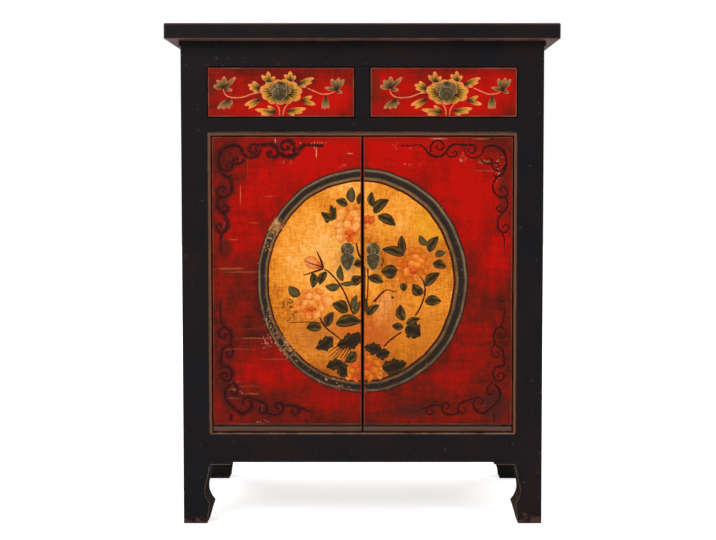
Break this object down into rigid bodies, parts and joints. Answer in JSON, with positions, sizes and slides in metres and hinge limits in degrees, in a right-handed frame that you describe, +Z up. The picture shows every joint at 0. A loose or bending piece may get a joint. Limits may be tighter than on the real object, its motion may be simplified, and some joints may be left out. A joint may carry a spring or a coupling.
{
  "type": "chinese wedding cabinet",
  "caption": "Lacquered cabinet on hoof feet with inset drawers over a pair of inset doors, bronze drop pulls, a mitred top and a shelf inside.",
  "frame": {"origin": "on the floor, under the middle of the top", "axes": "+X to the right as seen from the front, +Y to the back, +Z up"},
  "size_m": [0.7, 0.4, 0.9],
  "materials": {
    "black_lacquer": "black lacquer, worn to red-brown at the edges",
    "red_lacquer": "deep red lacquer over cloth, satin, scratched",
    "bare_wood": "bare softwood, oiled by use",
    "bronze": "aged bronze, rubbed at the rims"
  },
  "bodies": {
    "carcass": {"apron": "black_lacquer", "back_panel": "black_lacquer", "bottom_board": "bare_wood", "centre_drawer_runner": "bare_wood", "door_bead": "black_lacquer", "door_stops": "bare_wood", "drawer_divider": "black_lacquer", "drawer_kickers": "bare_wood", "front_left_post": "black_lacquer", "front_middle_rail": "black_lacquer", "front_right_post": "black_lacquer", "front_top_rail": "black_lacquer", "left_bottom_rail": "black_lacquer", "left_side_panel": "black_lacquer", "left_top_rail": "black_lacquer", "rear_bottom_rail": "black_lacquer", "rear_left_post": "black_lacquer", "rear_middle_rail": "black_lacquer", "rear_right_post": "black_lacquer", "rear_top_rail": "black_lacquer", "right_bottom_rail": "black_lacquer", "right_side_panel": "black_lacquer", "right_top_rail": "black_lacquer", "shelf": "bare_wood", "shelf_cleats": "bare_wood", "side_drawer_runners": "bare_wood", "top_frame_front": "black_lacquer", "top_frame_left": "black_lacquer", "top_frame_rear": "black_lacquer", "top_frame_right": "black_lacquer", "top_panel": "black_lacquer", "top_panel_batten": "bare_wood"},
    "left_door": {"left_door_back_cleats": "bare_wood", "left_door_bottom_batten": "black_lacquer", "left_door_panel": "red_lacquer", "left_door_pivots": "bare_wood", "left_door_pull_plate": "bronze", "left_door_pull_staple": "bronze"},
    "left_door_pull": {"left_door_pull_drop": "bronze"},
    "right_door": {"right_door_back_cleats": "bare_wood", "right_door_bottom_batten": "black_lacquer", "right_door_panel": "red_lacquer", "right_door_pivots": "bare_wood", "right_door_pull_plate": "bronze", "right_door_pull_staple": "bronze"},
    "right_door_pull": {"right_door_pull_drop": "bronze"},
    "left_drawer": {"left_drawer_back": "bare_wood", "left_drawer_floor": "bare_wood", "left_drawer_front": "red_lacquer", "left_drawer_pull_plate": "bronze", "left_drawer_pull_staple": "bronze", "left_drawer_sides": "bare_wood"},
    "left_drawer_pull": {"left_drawer_pull_drop": "bronze"},
    "right_drawer": {"right_drawer_back": "bare_wood", "right_drawer_floor": "bare_wood", "right_drawer_front": "red_lacquer", "right_drawer_pull_plate": "bronze", "right_drawer_pull_staple": "bronze", "right_drawer_sides": "bare_wood"},
    "right_drawer_pull": {"right_drawer_pull_drop": "bronze"}
  },
  "joints": [
    {"name": "left_door_hinge", "type": "hinge", "parent": "carcass", "child": "left_door", "pos_m": [-0.258, -0.168, 0.433], "axis": [0, 0, -1], "range_deg": [0, 110]},
    {"name": "right_door_hinge", "type": "hinge", "parent": "carcass", "child": "right_door", "pos_m": [0.258, -0.168, 0.433], "axis": [0, 0, 1], "range_deg": [0, 110]},
    {"name": "left_drawer_slide", "type": "slide", "parent": "carcass", "child": "left_drawer", "axis": [0, -1, 0], "range_m": [0, 0.22]},
    {"name": "right_drawer_slide", "type": "slide", "parent": "carcass", "child": "right_drawer", "axis": [0, -1, 0], "range_m": [0, 0.22]},
    {"name": "left_door_pull_swing", "type": "hinge", "parent": "left_door", "child": "left_door_pull", "pos_m": [-0.027, -0.1848, 0.499], "axis": [-1, 0, 0], "range_deg": [-8, 90]},
    {"name": "right_door_pull_swing", "type": "hinge", "parent": "right_door", "child": "right_door_pull", "pos_m": [0.0195, -0.1848, 0.499], "axis": [-1, 0, 0], "range_deg": [-8, 90]},
    {"name": "left_drawer_pull_swing", "type": "hinge", "parent": "left_drawer", "child": "left_drawer_pull", "pos_m": [-0.1475, -0.1848, 0.787], "axis": [-1, 0, 0], "range_deg": [-8, 90]},
    {"name": "right_drawer_pull_swing", "type": "hinge", "parent": "right_drawer", "child": "right_drawer_pull", "pos_m": [0.15, -0.1848, 0.787], "axis": [-1, 0, 0], "range_deg": [-8, 90]}
  ]
}
